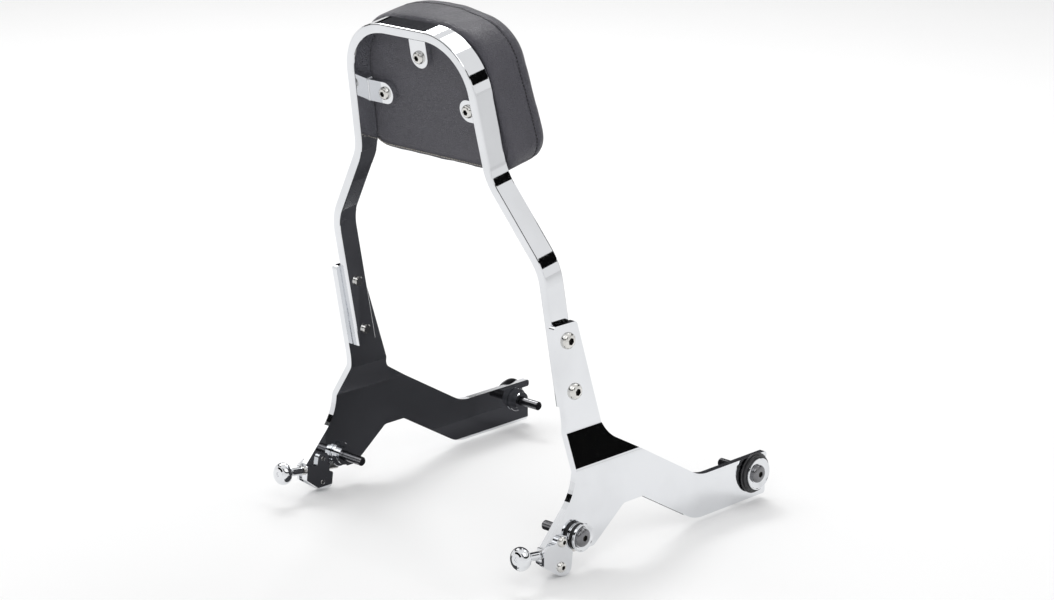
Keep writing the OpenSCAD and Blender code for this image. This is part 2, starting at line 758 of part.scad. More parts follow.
// A flat piece between two X planes, its outline given in the latch frame
module latch_slab(x0, x1, corners) {
    translate([x0, 0, 0]) rotate([90, 0, 90])
        linear_extrude(height = x1 - x0) polygon(rounded_outline(corners));
}

module latch_housing() {
    latch_frame() difference() {
        union() {
            latch_slab(housing_in, body_out, housing_corners);
            latch_slab(housing_in, body_in, lip_corners);
        }
        y_bar(-through, through, bore_d, pin_x, pin_z);
        for (p = latch_screws_yz)
            x_bar(0, through, latch_screw_d + 2 * thread_gap, p[0], p[1]);
    }
}

module latch_housing_right() { color("silver") latch_housing(); }
module latch_housing_left() { color("silver") mirror([1, 0, 0]) latch_housing(); }

cover_corners = [
    [-housing_rear - 3.5, -8.5, 1.5],
    [-housing_rear - 1.5, -23, 1.5],
    [-23, -33.5, 4],
    [-6.5, -37, 8],
    [-7, -13.5, 2],
    [-17.5, 3.5, 5],
    [-28, 3.2, 5],
    [-30, -3.4, 5],
    [-38, -3.6, 3]
];

module latch_cover() {
    latch_frame() difference() {
        latch_slab(body_out, cover_out, cover_corners);
        for (p = latch_screws_yz)
            x_bar(0, through, latch_screw_d + 2 * hole_gap, p[0], p[1]);
        // Relief for the bush's flange and the knob's neck
        y_bar(-through, -housing_rear, bush_flange_d + 0.8, pin_x, pin_z);
    }
}

module latch_cover_right() { color("silver") latch_cover(); }
module latch_cover_left() { color("silver") mirror([1, 0, 0]) latch_cover(); }

module latch_screws() {
    latch_frame() for (p = latch_screws_yz)
        translate([cover_out, p[0], p[1]]) rotate([0, 90, 0])
            button_bolt(latch_screw_head_d, 3, 3.9, latch_screw_d, cover_out - housing_in);
}

module latch_screws_right() { color("lightgray") latch_screws(); }
module latch_screws_left() { color("lightgray") mirror([1, 0, 0]) latch_screws(); }

// Bush that closes the rear of the housing and guides the rod
module latch_bush() {
    latch_frame() difference() {
        union() {
            y_bar(-housing_rear, -housing_rear + bush_len, bore_d - 2 * thread_gap, pin_x, pin_z);
            y_bar(-housing_rear - bush_flange_t, -housing_rear, bush_flange_d, pin_x, pin_z);
        }
        y_bar(-through, through, rod_d + 2 * slide_gap, pin_x, pin_z);
    }
}

module latch_bush_right() { color("gray") latch_bush(); }
module latch_bush_left() { color("gray") mirror([1, 0, 0]) latch_bush(); }

// Where the pin ends and the rod starts, and where the knob's neck starts
pin_rear = -housing_rear + bush_len + spring_len;
neck_front = -housing_rear - bush_flange_t - 0.5;
rod_rear = neck_front - knob_neck_len * 0.7;

// Locking pin with a domed nose, and the thinner rod behind it
module latch_plunger() {
    nose = 1.6;
    latch_frame() translate([pin_x, rod_rear, pin_z]) rotate([-90, 0, 0])
        rotate_extrude($fn = 64) polygon([
            [0, 0], [rod_d / 2, 0], [rod_d / 2, pin_rear - rod_rear], [pin_d / 2, pin_rear - rod_rear],
            [pin_d / 2, pin_reach - nose - rod_rear],
            [pin_d / 2 - 0.3, pin_reach - nose / 2 - rod_rear],
            [pin_d / 2 - 1, pin_reach - rod_rear], [0, pin_reach - rod_rear]
        ]);
}

module latch_plunger_right() { color("lightgray") latch_plunger(); }
module latch_plunger_left() { color("lightgray") mirror([1, 0, 0]) latch_plunger(); }

// Points of one ring of the spring's wire, at turn t along the helix
spring_r = (bore_d / 2 + rod_d / 2) / 2;
spring_sides = 6;
spring_steps = 12;
function spring_ring(t) =
    let(
        inset = spring_wire_d / 2 + seat_gap,
        y = pin_rear - inset - t / spring_turns * (spring_len - 2 * inset),
        a = 360 * t
    )
    [for (k = [0:spring_sides - 1]) let(b = 360 * k / spring_sides, r = spring_r + spring_wire_d / 2 * cos(b))
        [pin_x + r * cos(a), y + spring_wire_d / 2 * sin(b), pin_z + r * sin(a)]];

// Compression spring between the pin's shoulder and the bush
module latch_spring() {
    rings = spring_turns * spring_steps;
    points = [for (i = [0:rings]) each spring_ring(i / spring_steps)];
    sides = [for (i = [0:rings - 1], k = [0:spring_sides - 1])
        let(a = i * spring_sides + k, b = i * spring_sides + (k + 1) % spring_sides)
        [a, b, b + spring_sides, a + spring_sides]];
    ends = [
        [for (k = [spring_sides - 1:-1:0]) k],
        [for (k = [0:spring_sides - 1]) rings * spring_sides + k]
    ];
    latch_frame() polyhedron(points, concat(sides, ends), convexity = 10);
}

module latch_spring_right() { color("gray") latch_spring(); }
module latch_spring_left() { color("gray") mirror([1, 0, 0]) latch_spring(); }

// Mushroom knob on the end of the rod, turned about the plunger's axis
module latch_knob() {
    neck_end = knob_neck_len;
    total = knob_neck_len + knob_len;
    face_r = knob_d * 0.3;
    latch_frame() translate([pin_x, neck_front, pin_z]) rotate([90, 0, 0])
        difference() {
            rotate_extrude($fn = 96) polygon(concat(
                [[0, 0], [knob_neck_d / 2 - 1, 0], [knob_neck_d / 2, 1.2], [knob_neck_d / 2, neck_end * 0.8],
                 [knob_neck_d / 2 + 1, neck_end]],
                [for (a = [-40:10:80])
                    [knob_d * 0.28 + knob_d * 0.22 * cos(a), neck_end + knob_len * 0.55 + knob_len * 0.4 * sin(a)]],
                [[face_r * 0.8, total], [knob_d * 0.1, total], [knob_d * 0.085, total - 0.7], [0, total - 0.9]]));
            translate([0, 0, -eps]) cylinder(h = neck_front - rod_rear + 0.3, d = rod_d + 2 * thread_gap, $fn = 64);
        }
}

module latch_knob_right() { color("silver") latch_knob(); }
module latch_knob_left() { color("silver") mirror([1, 0, 0]) latch_knob(); }

hoop();
pad_tab_top();
pad_tab_right();
pad_tab_left();
pad_cover();
pad_back_panel();
pad_foam();
pad_board();
pad_tee_nuts();
pad_screws();
side_plate_right();
side_plate_left();
tongue_bolts_right();
tongue_bolts_left();
rear_spool_right();
rear_spool_left();
front_spool_right();
front_spool_left();
rear_collar_right();
rear_collar_left();
front_collar_right();
front_collar_left();
rear_washer_right();
rear_washer_left();
front_washer_right();
front_washer_left();
rear_dock_bolt_right();
rear_dock_bolt_left();
front_dock_bolt_right();
front_dock_bolt_left();
latch_housing_right();
latch_housing_left();
latch_cover_right();
latch_cover_left();
latch_screws_right();
latch_screws_left();
latch_bush_right();
latch_bush_left();
latch_plunger_right();
latch_plunger_left();
latch_spring_right();
latch_spring_left();
latch_knob_right();
latch_knob_left();
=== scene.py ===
"""Looks of a passenger backrest: stitched pad, chromed hoop and side plates, and docking hardware"""

import json
import math
from types import SimpleNamespace

import bpy
from mathutils import Matrix, Vector, noise
from mathutils.bvhtree import BVHTree
from mathutils.kdtree import KDTree


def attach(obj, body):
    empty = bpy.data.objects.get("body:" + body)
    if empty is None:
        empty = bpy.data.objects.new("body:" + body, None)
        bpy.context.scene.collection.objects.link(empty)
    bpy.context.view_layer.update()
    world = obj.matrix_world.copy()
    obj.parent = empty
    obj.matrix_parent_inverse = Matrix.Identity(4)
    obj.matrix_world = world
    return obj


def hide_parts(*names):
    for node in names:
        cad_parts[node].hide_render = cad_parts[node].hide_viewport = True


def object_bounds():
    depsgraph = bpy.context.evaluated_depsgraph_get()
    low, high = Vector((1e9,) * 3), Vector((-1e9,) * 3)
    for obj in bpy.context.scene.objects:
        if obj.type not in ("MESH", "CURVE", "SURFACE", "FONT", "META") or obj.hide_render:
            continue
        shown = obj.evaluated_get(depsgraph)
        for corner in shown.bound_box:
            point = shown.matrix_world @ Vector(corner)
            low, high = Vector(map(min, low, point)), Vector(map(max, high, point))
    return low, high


bl_info = {
    "name": "Stitched Backrest Hoop",
    "version": (1, 0, 0),
    "blender": (4, 5, 0),
    "location": "3D View > Sidebar > Backrest",
    "description": "Dresses a packed backrest hoop with upholstery, stitching, welds, threads and finishes",
    "category": "Object",
}

MM = 0.001
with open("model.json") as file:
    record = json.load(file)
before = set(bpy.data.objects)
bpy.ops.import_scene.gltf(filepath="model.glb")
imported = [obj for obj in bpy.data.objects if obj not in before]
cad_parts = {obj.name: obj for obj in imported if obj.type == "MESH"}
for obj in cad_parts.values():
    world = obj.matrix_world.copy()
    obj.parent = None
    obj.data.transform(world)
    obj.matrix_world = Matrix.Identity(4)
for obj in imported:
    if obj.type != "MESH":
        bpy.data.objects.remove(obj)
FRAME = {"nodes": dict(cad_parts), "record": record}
CAD_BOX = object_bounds()

# From millimetres in the row frame to metres, and from right to left
ROW = Matrix.Scale(MM, 4)
MIRROR = Matrix.Scale(-1.0, 4, (1.0, 0.0, 0.0))

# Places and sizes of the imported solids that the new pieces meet, in millimetres.
# Levels are heights along the hoop above its lower bend.
BAR_THICK = 9.5
TOP_BAR_LEVEL, TOP_HALF_WIDTH = 206.0, 75.0
UPPER_BEND_LEVEL, UPPER_BEND_HALF_WIDTH = 79.0, 84.5
TAB_THICK, TAB_HALF_WIDTH, SIDE_TAB_LEVEL = 6.0, 10.5, 134.5
PAD_SCREWS = ((0.0, 177.5), (54.0, SIDE_TAB_LEVEL), (-54.0, SIDE_TAB_LEVEL))
TONGUE_BOLT_LEVELS = (-119.5, -68.7)
DOCKS = {"rear": (0.0, 0.0), "front": (247.5, -2.8)}
LATCH_TILT = math.radians(-7.6)
LATCH_SCREWS = ((-22.6, -2.0), (-20.5, -26.0))

# Planes across the bar that the heads sit on: tongue, latch cover, dished washer
TONGUE_OUT, COVER_OUT, DISH_OUT = 146.6, 166.6, 170.5

# Threads of the bolts: start across the bar, radius under the crests, length
DOCK_THREAD = (123.6, 4.5, 22.0)
TONGUE_THREAD = (128.3, 4.75, 2.0)
TONGUE_THREAD_PITCH = 0.9

# Button heads: diameter, then width of the socket, its depth and the head's height as shares of it
PAD_HEAD = (12.6, 0.40, 0.18, 0.30)
TONGUE_HEAD = (15.6, 0.40, 0.168, 0.28)
LATCH_HEAD = (10.0, 0.39, 0.18, 0.30)
DOCK_HEAD = (17.6, 0.31, 0.12, 0.20)


# Sizes and colours

class BackrestSizes(bpy.types.PropertyGroup):
    """Sizes of the dressed pieces"""

    lean: bpy.props.FloatProperty(
        name="Lean", description="Backward lean of the hoop", default=math.radians(10.6), subtype="ANGLE")
    setback: bpy.props.FloatProperty(
        name="Setback", description="Distance of the hoop's lower bend behind the rear docking axis",
        default=7.7 * MM, unit="LENGTH")
    lift: bpy.props.FloatProperty(
        name="Lift", description="Height of the hoop's lower bend above the rear docking axis",
        default=248.03 * MM, unit="LENGTH")
    pad_back: bpy.props.FloatProperty(
        name="Pad back", description="Depth of the pad's back in front of the hoop's middle plane",
        default=11.1 * MM, unit="LENGTH")
    pad_depth: bpy.props.FloatProperty(
        name="Pad depth", description="Thickness of the pad", default=53.5 * MM, unit="LENGTH")
    pad_seam: bpy.props.FloatProperty(
        name="Front seam", description="Depth of the front seam from the pad's back",
        default=34.0 * MM, unit="LENGTH")
    pad_half_low: bpy.props.FloatProperty(
        name="Pad half width", description="Half width at the bottom", default=95.0 * MM, unit="LENGTH")
    pad_half_top: bpy.props.FloatProperty(
        name="Pad top half", description="Half width at the top", default=84.0 * MM, unit="LENGTH")
    pad_low: bpy.props.FloatProperty(
        name="Pad bottom", description="Height of the pad's bottom above the lower bend",
        default=75.0 * MM, unit="LENGTH")
    pad_high: bpy.props.FloatProperty(
        name="Pad top", description="Height of the pad's top above the lower bend",
        default=214.0 * MM, unit="LENGTH")
    pad_low_r: bpy.props.FloatProperty(
        name="Bottom corner", description="Radius of the bottom corners", default=26.0 * MM, unit="LENGTH")
    pad_top_r: bpy.props.FloatProperty(
        name="Top corner", description="Radius of the top corners", default=44.0 * MM, unit="LENGTH")
    swell_cap: bpy.props.FloatProperty(
        name="Swell cap", description="Most that the cover may swell from its pattern",
        default=3.0 * MM, unit="LENGTH")
    stitch_pitch: bpy.props.FloatProperty(
        name="Stitch pitch", description="Distance from stitch to stitch", default=3.3 * MM, unit="LENGTH")
    stitch_radius: bpy.props.FloatProperty(
        name="Sewing thread radius", description="Radius of the sewing thread",
        default=0.50 * MM, unit="LENGTH")
    weld_radius: bpy.props.FloatProperty(
        name="Weld radius", description="Radius of the weld beads", default=1.3 * MM, unit="LENGTH")
    thread_pitch: bpy.props.FloatProperty(
        name="Thread pitch", description="Pitch of the docking bolts' threads",
        default=1.25 * MM, unit="LENGTH")


class BackrestColours(bpy.types.PropertyGroup):
    """Base colours of the finishes"""

    vinyl: bpy.props.FloatVectorProperty(
        name="Vinyl", description="Charcoal vinyl", subtype="COLOR", default=(0.063, 0.061, 0.078))
    chrome: bpy.props.FloatVectorProperty(
        name="Chrome", description="Polished plate", subtype="COLOR", default=(0.790, 0.803, 0.825))
    bright: bpy.props.FloatVectorProperty(
        name="Bright fasteners", description="Plated fasteners",
        subtype="COLOR", default=(0.80, 0.79, 0.76))
    dark_steel: bpy.props.FloatVectorProperty(
        name="Dark bolts", description="Dark plated bolts",
        subtype="COLOR", default=(0.23, 0.23, 0.24))
    black: bpy.props.FloatVectorProperty(
        name="Black collars", description="Satin black collars",
        subtype="COLOR", default=(0.018, 0.018, 0.020))
    light_thread: bpy.props.FloatVectorProperty(
        name="Light thread", description="Thread of the closing row",
        subtype="COLOR", default=(0.62, 0.58, 0.51))
    dark_thread: bpy.props.FloatVectorProperty(
        name="Dark thread", description="Thread at the front seam",
        subtype="COLOR", default=(0.012, 0.012, 0.014))


# Shader maths and finishes

class Value:
    """A socket that takes part in Python arithmetic"""

    def __init__(self, tree, socket):
        self.tree, self.socket = tree, socket

    def maths(self, operation, first, second):
        made = self.tree.nodes.new("ShaderNodeMath")
        made.operation = operation
        for slot, term in zip(made.inputs, (first, second)):
            if isinstance(term, Value):
                self.tree.links.new(term.socket, slot)
            else:
                slot.default_value = term
        return Value(self.tree, made.outputs[0])

    def __add__(self, other):
        return self.maths("ADD", self, other)

    def __radd__(self, other):
        return self.maths("ADD", other, self)

    def __sub__(self, other):
        return self.maths("SUBTRACT", self, other)

    def __rsub__(self, other):
        return self.maths("SUBTRACT", other, self)

    def __mul__(self, other):
        return self.maths("MULTIPLY", self, other)

    def __rmul__(self, other):
        return self.maths("MULTIPLY", other, self)


class Nodes:
    """A node tree that is built node by node"""

    def __init__(self, tree):
        self.tree = tree

    def node(self, kind, settings, inputs, output=0):
        made = self.tree.nodes.new(kind)
        for key, setting in settings.items():
            setattr(made, key, setting)
        for key, term in inputs.items():
            if isinstance(term, Value):
                self.tree.links.new(term.socket, made.inputs[key])
            else:
                made.inputs[key].default_value = term
        return Value(self.tree, made.outputs[output])

    def smaller(self, first, second):
        return self.node("ShaderNodeMath", {"operation": "MINIMUM"}, {0: first, 1: second})


class Finish(Nodes):
    """A procedural material and its node tree"""

    def __init__(self, name):
        self.material = bpy.data.materials.new(name)
        self.material.use_nodes = True
        super().__init__(self.material.node_tree)
        self.shader = self.tree.nodes["Principled BSDF"]
        self.place = self.node("ShaderNodeTexCoord", {}, {}, "Object")

    def noise(self, scale, detail=3.0, stretch=None):
        place = self.place
        if stretch:
            place = self.node("ShaderNodeMapping", {}, {"Vector": place, "Scale": stretch}, "Vector")
        inputs = {"Vector": place, "Scale": scale, "Detail": detail}
        return self.node("ShaderNodeTexNoise", {}, inputs, "Fac")

    def warped(self, scale, amount):
        """The place, pushed about by a noise"""
        push = self.node("ShaderNodeTexNoise", {}, {"Vector": self.place, "Scale": scale}, "Color")
        return self.node("ShaderNodeMix", {"data_type": "VECTOR"}, {0: amount, 4: self.place, 5: push}, 1)

    def cells(self, scale, feature="DISTANCE_TO_EDGE", place=None):
        inputs = {"Vector": place or self.place, "Scale": scale}
        return self.node("ShaderNodeTexVoronoi", {"feature": feature}, inputs, "Distance")

    def steps(self, value, low, high):
        """0 below low, 1 above high"""
        return self.node(
            "ShaderNodeMapRange", {"interpolation_type": "SMOOTHSTEP"},
            {"Value": value, "From Min": low, "From Max": high}, "Result")

    def blend(self, factor, first, second):
        return self.node("ShaderNodeMix", {"data_type": "RGBA"}, {0: factor, 6: first, 7: second}, 2)

    def bump(self, height, strength, distance, under=None):
        inputs = {"Height": height, "Strength": strength, "Distance": distance}
        if under:
            inputs["Normal"] = under
        return self.node("ShaderNodeBump", {}, inputs, "Normal")

    def feed(self, **sockets):
        for key, term in sockets.items():
            slot = self.shader.inputs[key.replace("_", " ")]
            if isinstance(term, Value):
                self.tree.links.new(term.socket, slot)
            else:
                slot.default_value = term
        return self.material


def opaque(colour, gain=1.0):
    return tuple(min(1.0, c * gain) for c in colour) + (1.0,)


def polished(name, colour):
    """Plated metal: faint haze, fine polishing lines and a slightly wavy skin"""
    f = Finish(name)
    low, high, haze = 0.03, 0.09, 0.93
    haze_map = f.steps(f.noise(18.0, 4.0), 0.35, 0.75)
    lines = f.noise(260.0, 3.0, (1.0, 1.0, 0.06))
    specks = f.steps(f.cells(420.0, "F1"), 0.0, 0.08)
    return f.feed(
        Base_Color=f.blend(haze_map, opaque(colour), opaque(colour, haze)),
        Metallic=1.0,
        Roughness=low + (high - low) * (haze_map * 0.6 + lines * 0.4) + (1.0 - specks) * 0.05,
        Normal=f.bump(lines, 0.02, 0.0002, f.bump(f.noise(30.0, 1.0), 0.02, 0.001)),
    )


def plated_fastener(name, colour):
    """Bright plated steel with turning marks and duller patches"""
    f = Finish(name)
    patches = f.noise(140.0, 4.0)
    grain = f.noise(900.0, 2.0, (0.1, 1.0, 1.0))
    return f.feed(
        Base_Color=f.blend(patches, opaque(colour, 1.05), opaque(colour, 0.75)),
        Metallic=1.0,
        Roughness=0.10 + patches * 0.12 + grain * 0.05,
        Normal=f.bump(grain, 0.05, 0.0001),
    )


def satin_black(name, colour):
    """Satin black with a fine texture and rubbed patches"""
    f = Finish(name)
    grain = f.noise(1400.0, 3.0)
    rubbed = f.steps(f.noise(70.0, 4.0), 0.55, 0.75)
    return f.feed(
        Base_Color=f.blend(rubbed, opaque(colour), opaque(colour, 2.2)),
        Roughness=0.34 - rubbed * 0.10 + grain * 0.06,
        Specular_IOR_Level=0.55,
        Normal=f.bump(grain, 0.12, 0.0001),
    )


def plain_steel(name):
    """Machined steel with turning lines and a faint tint"""
    f = Finish(name)
    lines = f.noise(700.0, 2.0, (1.0, 0.05, 1.0))
    tint = f.noise(60.0, 3.0)
    return f.feed(
        Base_Color=f.blend(tint, (0.56, 0.56, 0.57, 1), (0.66, 0.64, 0.60, 1)),
        Metallic=1.0,
        Roughness=0.22 + lines * 0.18,
        Normal=f.bump(lines, 0.1, 0.0001),
    )


def socket_steel(name):
    """Painted shade inside the sockets: near-black steel with broaching lines and oily patches"""
    f = Finish(name)
    lines = f.noise(1500.0, 2.0, (0.2, 0.2, 1.0))
    oil = f.noise(300.0, 3.0)
    # Painted shade: these near-black colours stand in for the shade inside the sockets
    return f.feed(
        Base_Color=f.blend(oil, (0.030, 0.029, 0.028, 1), (0.075, 0.070, 0.064, 1)),
        Metallic=1.0,
        Roughness=0.38 + lines * 0.2,
        Normal=f.bump(lines, 0.2, 0.0001),
    )


def vinyl(name, colour):
    """Fine-grained vinyl: small pebbles, creases between them darkened with painted shade, soft folds and a
    faint mottling
    """
    f = Finish(name)
    cells = f.cells(760.0, place=f.warped(420.0, 0.0016))
    pebbles = f.steps(cells, 0.0, 0.34)
    creases = 1.0 - f.steps(cells, 0.01, 0.16)
    pores = f.noise(2400.0, 2.0)
    mottle = f.noise(55.0, 4.0)
    folds = f.noise(75.0, 4.0, (1.0, 0.4, 1.0))
    tone = f.blend(mottle, opaque(colour, 0.80), opaque(colour, 1.22))
    # Painted shade: the base colour darkens toward 0.45 of the colour in the creases between the pebbles
    return f.feed(
        Base_Color=f.blend(creases * 0.40, tone, opaque(colour, 0.45)),
        Roughness=0.30 + mottle * 0.10 + creases * 0.12 - pores * 0.05,
        Specular_IOR_Level=0.6,
        Sheen_Weight=0.10,
        Sheen_Roughness=0.5,
        Normal=f.bump(pebbles + pores * 0.25, 0.8, 0.0005, f.bump(folds, 0.45, 0.0026)),
    )


def thread(name, colour):
    """Twisted sewing thread"""
    f = Finish(name)
    twist = f.node("ShaderNodeTexWave", {"wave_type": "BANDS", "bands_direction": "DIAGONAL"},
                   {"Vector": f.place, "Scale": 900.0, "Distortion": 1.0}, "Fac")
    return f.feed(
        Base_Color=f.blend(twist, opaque(colour, 0.7), opaque(colour, 1.15)),
        Roughness=0.72 - twist * 0.1,
        Sheen_Weight=0.04,
        Normal=f.bump(twist, 0.5, 0.0002),
    )


def foam(name):
    """Open-cell foam"""
    f = Finish(name)
    cells = f.steps(f.cells(700.0), 0.0, 0.2)
    return f.feed(
        Base_Color=f.blend(cells, (0.42, 0.36, 0.20, 1), (0.78, 0.71, 0.48, 1)),
        Roughness=0.95 - cells * 0.1,
        Normal=f.bump(cells, 0.8, 0.0006),
    )


def plywood(name):
    """Plywood board with long grain"""
    f = Finish(name)
    grain = f.noise(90.0, 5.0, (0.08, 1.0, 1.0))
    return f.feed(
        Base_Color=f.blend(grain, (0.42, 0.28, 0.15, 1), (0.70, 0.54, 0.34, 1)),
        Roughness=0.62 + grain * 0.2,
        Normal=f.bump(grain, 0.3, 0.0004),
    )


# Helpers

def sizes():
    """The sizes in millimetres, in which the pieces are laid out, with the lean in radians"""
    group = bpy.context.scene.backrest_sizes
    in_mm = {name: round(getattr(group, name) / MM, 4) for name in BackrestSizes.__annotations__}
    in_mm["lean"] = group.lean
    return SimpleNamespace(**in_mm)


def colours():
    return bpy.context.scene.backrest_colours


def finish_named(name, make, *details):
    return bpy.data.materials.get(name) or make(name, *details)


def chrome_plate():
    return finish_named("chrome_plate", polished, colours().chrome)


def hoop_matrix():
    """From the hoop's own millimetres (across, depth, along) to the row frame in metres"""
    s = sizes()
    foot = Matrix.Translation((0.0, -s.setback * MM, s.lift * MM))
    return foot @ Matrix.Rotation(s.lean, 4, "X") @ Matrix.Scale(MM, 4)


def both_sides(places):
    return [turn @ place for place in places for turn in (Matrix(), MIRROR)]


def clear_selection():
    if bpy.context.object and bpy.context.object.mode != "OBJECT":
        bpy.ops.object.mode_set(mode="OBJECT")
    bpy.ops.object.select_all(action="DESELECT")


def pick(piece):
    clear_selection()
    piece.select_set(True)
    bpy.context.view_layer.objects.active = piece


def apply_all(piece):
    pick(piece)
    for modifier in list(piece.modifiers):
        bpy.ops.object.modifier_apply(modifier=modifier.name)


def settle(piece):
    """Puts the piece's place into its mesh and leaves its object at the origin"""
    pick(piece)
    bpy.ops.object.transform_apply(location=True, rotation=True, scale=True)


def mend_normals(piece):
    pick(piece)
    bpy.ops.object.mode_set(mode="EDIT")
    bpy.ops.mesh.select_all(action="SELECT")
    bpy.ops.mesh.remove_doubles(threshold=1e-6)
    bpy.ops.mesh.normals_make_consistent(inside=False)
    bpy.ops.object.mode_set(mode="OBJECT")


def piece_from(name, points, faces):
    mesh = bpy.data.meshes.new(name)
    mesh.from_pydata(points, [], faces)
    piece = bpy.data.objects.new(name, mesh)
    bpy.context.scene.collection.objects.link(piece)
    return piece


def copies(name, base, places):
    """One piece made of a copy of base at each place, then base is removed"""
    points = [v.co.copy() for v in base.data.vertices]
    faces = [tuple(p.vertices) for p in base.data.polygons]
    all_points, all_faces = [], []
    for place in places:
        start = len(all_points)
        all_points += [place @ p for p in points]
        all_faces += [tuple(start + i for i in face) for face in faces]
    piece = piece_from(name, all_points, all_faces)
    bpy.data.objects.remove(base)
    pick(piece)
    bpy.ops.object.shade_smooth()
    return piece


def finish_piece(piece, material, slot, *replaced):
    piece.data.materials.clear()
    piece.data.materials.append(material)
    if replaced:
        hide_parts(*replaced)
    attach(piece, "frame")


# Pad

# Points round the pad
RING_POINTS = 144

# Rise of the pad's top edge in its middle, and the distance from there at which the rise has gone
TOP_CROWN, TOP_CROWN_HALF = 5.0, 46.0

# The form starts larger than the pad by this, because smoothing draws it in
FORM_EASE = 0.7

# Spacing of the form's points before it is smoothed
FORM_SPACING = 4.0

# Frames in which the cover swells
SWELL_STEPS = 20


def convex_hull(points):
    points = sorted(set(points))

    def half(ordered):
        chain = []
        for p in ordered:
            while len(chain) > 1 and (
                (chain[-1][0] - chain[-2][0]) * (p[1] - chain[-2][1])
                - (chain[-1][1] - chain[-2][1]) * (p[0] - chain[-2][0])
            ) <= 0:
                chain.pop()
            chain.append(p)
        return chain[:-1]

    return half(points) + half(reversed(points))


def pad_outline(inset, count=RING_POINTS):
    """Evenly spaced points (across, along) round the pad, drawn in by inset"""
    s = sizes()
    low_r, top_r = max(s.pad_low_r - inset, 4.0), max(s.pad_top_r - inset, 8.0)
    top = s.pad_high - inset
    corners = []
    for side in (-1, 1):
        corners.append((side * (s.pad_half_low - inset - low_r), s.pad_low + inset + low_r, low_r))
        corners.append((side * (s.pad_half_top - inset - top_r), top - TOP_CROWN - top_r, top_r))
    points = [
        (round(x + r * math.cos(math.radians(a)), 4), round(y + r * math.sin(math.radians(a)), 4))
        for x, y, r in corners for a in range(0, 360, 5)
    ]
    points += [
        (round(x, 4), round(top - TOP_CROWN * (x / TOP_CROWN_HALF) ** 2, 4)) for x in range(-40, 41, 8)]
    ring = convex_hull(points)
    ring.append(ring[0])
    lengths = [math.dist(a, b) for a, b in zip(ring, ring[1:])]
    total = sum(lengths)
    evenly, leg, walked = [], 0, 0.0
    for k in range(count):
        target = total * k / count
        while walked + lengths[leg] < target:
            walked += lengths[leg]
            leg += 1
        t = (target - walked) / lengths[leg]
        a, b = ring[leg], ring[leg + 1]
        evenly.append((a[0] + (b[0] - a[0]) * t, a[1] + (b[1] - a[1]) * t))
    return evenly


def pad_form(name):
    """Closed pad form, crowned in front and flat behind"""
    s = sizes()
    seam, front = s.pad_seam, s.pad_depth
    profile = [  # depth from the back, inset from the outline
        (0.0, 40.0), (0.0, 20.0), (0.0, 9.0), (0.5, 5.0), (2.2, 1.8), (5.0, 0.2), (12.0, 0.0),
        (20.0, 0.0), (28.0, 0.0), (seam - 2.0, 0.0), (seam, 0.2), (seam + 3.0, 0.0),
        (seam + 8.0, 0.6), (seam + 12.0, 3.0), (front - 4.0, 8.0), (front - 2.0, 16.0),
        (front - 0.8, 28.0), (front - 0.2, 42.0), (front, 54.0),
    ]
    points, faces = [], []
    for depth, inset in profile:
        points += [Vector((x, s.pad_back + depth, y)) * MM for x, y in pad_outline(inset - FORM_EASE)]
    for first in range(0, (len(profile) - 1) * RING_POINTS, RING_POINTS):
        for k in range(RING_POINTS):
            a, b = first + k, first + (k + 1) % RING_POINTS
            faces.append((a, a + RING_POINTS, b + RING_POINTS, b))
    faces.append(tuple(range(RING_POINTS)))
    faces.append(tuple(range(len(points) - 1, len(points) - 1 - RING_POINTS, -1)))
    piece = piece_from(name, points, faces)
    mend_normals(piece)
    return piece


def swell(piece):
    """Blows the cover out over its filling, held at the back panel and at the front seam"""
    s = sizes()
    grip_reach, seam_grip = 3.0, 0.55
    rest = [v.co.copy() for v in piece.data.vertices]
    held = piece.vertex_groups.new(name="held")
    for index, p in enumerate(rest):
        depth = p.y / MM - s.pad_back
        if depth < grip_reach:
            held.add([index], 1.0, "REPLACE")
        elif abs(depth - s.pad_seam) < grip_reach:
            held.add([index], seam_grip, "REPLACE")
    cloth = piece.modifiers.new("Swell", "CLOTH")
    cloth.settings.quality = 6
    cloth.settings.mass = 0.35
    cloth.settings.tension_stiffness = cloth.settings.compression_stiffness = 40.0
    cloth.settings.shear_stiffness = 20.0
    cloth.settings.bending_stiffness = 6.0
    cloth.settings.use_pressure = True
    cloth.settings.uniform_pressure_force = 4.0
    cloth.settings.vertex_group_mass = "held"
    cloth.settings.effector_weights.gravity = 0.0
    cloth.collision_settings.use_collision = False
    scene = bpy.context.scene
    for step in range(1, SWELL_STEPS + 1):
        scene.frame_set(step)
    blown = piece.evaluated_get(bpy.context.evaluated_depsgraph_get()).to_mesh()
    moved = [v.co.copy() for v in blown.vertices]
    piece.modifiers.clear()
    scene.frame_set(1)
    cap = s.swell_cap * MM
    for vertex, old, new in zip(piece.data.vertices, rest, moved):
        shift = new - old
        vertex.co = old + shift * min(1.0, cap / max(shift.length, 1e-9))
    piece.vertex_groups.clear()


def bell(distance, width):
    """1 at no distance, fading to 0 over a few widths"""
    return math.exp(-((distance / width) ** 2))


def crumple(point, across, along_depth, start=0.0):
    """A random value, from -1 to 1, that changes smoothly with the point in millimetres"""
    return noise.noise(Vector((point.x * across + start, point.y * along_depth, point.z * across)))


